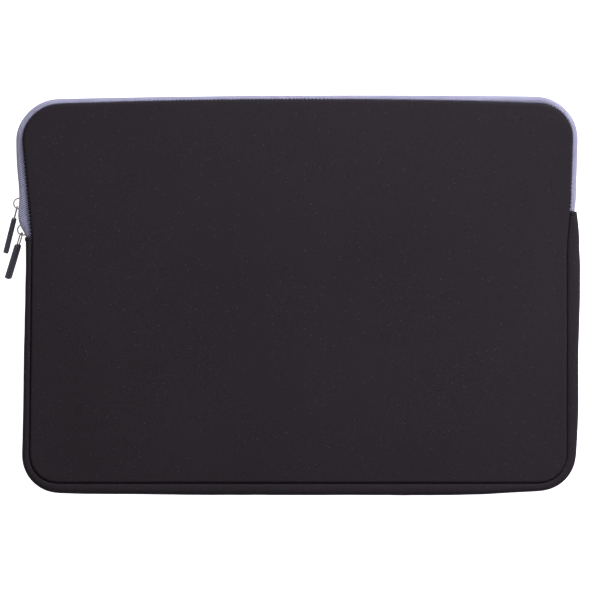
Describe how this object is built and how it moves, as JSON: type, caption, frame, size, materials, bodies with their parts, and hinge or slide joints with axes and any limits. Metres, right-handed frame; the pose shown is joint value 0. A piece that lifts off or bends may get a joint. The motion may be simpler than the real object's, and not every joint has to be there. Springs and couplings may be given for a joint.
{
  "type": "laptop sleeve",
  "caption": "Padded neoprene laptop sleeve with a bowed gusset, a zip round its mouth and two sliders with rubber pulls.",
  "frame": {"origin": "on the back panel's resting face, midway across and midway up the sleeve's body", "axes": "+X across the sleeve, along its length; +Y towards the zipped mouth; +Z out of the front panel, through the sleeve's thickness"},
  "size_m": [0.4128, 0.2852, 0.026],
  "materials": {
    "neoprene_face": "matte jersey over neoprene foam, charcoal",
    "lining_fleece": "short brushed knit, dark grey",
    "binding_ribbon": "flat woven ribbon, black",
    "zip_tape": "herringbone woven tape, lavender grey",
    "zip_coil": "polyester coil, lavender grey",
    "thread": "sewing thread, black",
    "coil_thread": "sewing thread, lavender grey",
    "slider_metal": "bright nickel plate",
    "pull_wire": "bright nickel plate",
    "pull_grip": "soft moulded rubber, dark slate"
  },
  "bodies": {
    "sleeve": {"back_lining": "lining_fleece", "back_panel": "neoprene_face", "coil_thread_back": "coil_thread", "coil_thread_front_left": "coil_thread", "coil_thread_front_right": "coil_thread", "front_lining_lower": "lining_fleece", "front_panel_lower": "neoprene_face", "gusset": "neoprene_face", "gusset_hem_left": "neoprene_face", "gusset_hem_right": "neoprene_face", "gusset_lining": "lining_fleece", "seam_binding_back": "binding_ribbon", "seam_binding_front_lower": "binding_ribbon", "seam_thread_back": "thread", "seam_thread_front_left": "thread", "seam_thread_front_right": "thread", "zip_coil_back": "zip_coil", "zip_coil_front_left": "zip_coil", "zip_coil_front_right": "zip_coil", "zip_end_tack_left": "thread", "zip_end_tack_right": "thread", "zip_tape_back": "zip_tape", "zip_tape_front_left": "zip_tape", "zip_tape_front_right": "zip_tape"},
    "mouth_flap": {"coil_thread_front_flap": "coil_thread", "front_lining_flap": "lining_fleece", "front_panel_flap": "neoprene_face", "seam_binding_front_flap": "binding_ribbon", "seam_thread_front_flap": "thread", "zip_coil_front_flap": "zip_coil", "zip_tape_front_flap": "zip_tape"},
    "upper_slider": {"upper_slider_body": "slider_metal", "upper_slider_bridge": "slider_metal"},
    "upper_pull": {"upper_pull_grip": "pull_grip", "upper_pull_loop": "pull_wire"},
    "lower_slider": {"lower_slider_body": "slider_metal", "lower_slider_bridge": "slider_metal"},
    "lower_pull": {"lower_pull_grip": "pull_grip", "lower_pull_loop": "pull_wire"}
  },
  "joints": [
    {"name": "flap_open", "type": "hinge", "parent": "sleeve", "child": "mouth_flap", "pos_m": [0, 0.073, 0.026], "axis": [1, 0, 0], "range_deg": [0, 75]},
    {"name": "upper_slider_travel", "type": "slide", "parent": "sleeve", "child": "upper_slider", "axis": [0.0506, -0.9987, 0], "range_m": [-0.034, 0.0045]},
    {"name": "lower_slider_travel", "type": "slide", "parent": "sleeve", "child": "lower_slider", "axis": [0.309, -0.9511, 0], "range_m": [-0.0025, 0]},
    {"name": "upper_pull_swing", "type": "hinge", "parent": "upper_slider", "child": "upper_pull", "pos_m": [-0.19995, 0.06589, 0.013], "axis": [0, 0, -1], "range_deg": [-2, 140]},
    {"name": "lower_pull_lift", "type": "hinge", "parent": "lower_slider", "child": "lower_pull", "pos_m": [-0.19836, 0.04347, 0.013], "axis": [-0.9511, 0.309, 0], "range_deg": [0, 115]}
  ]
}
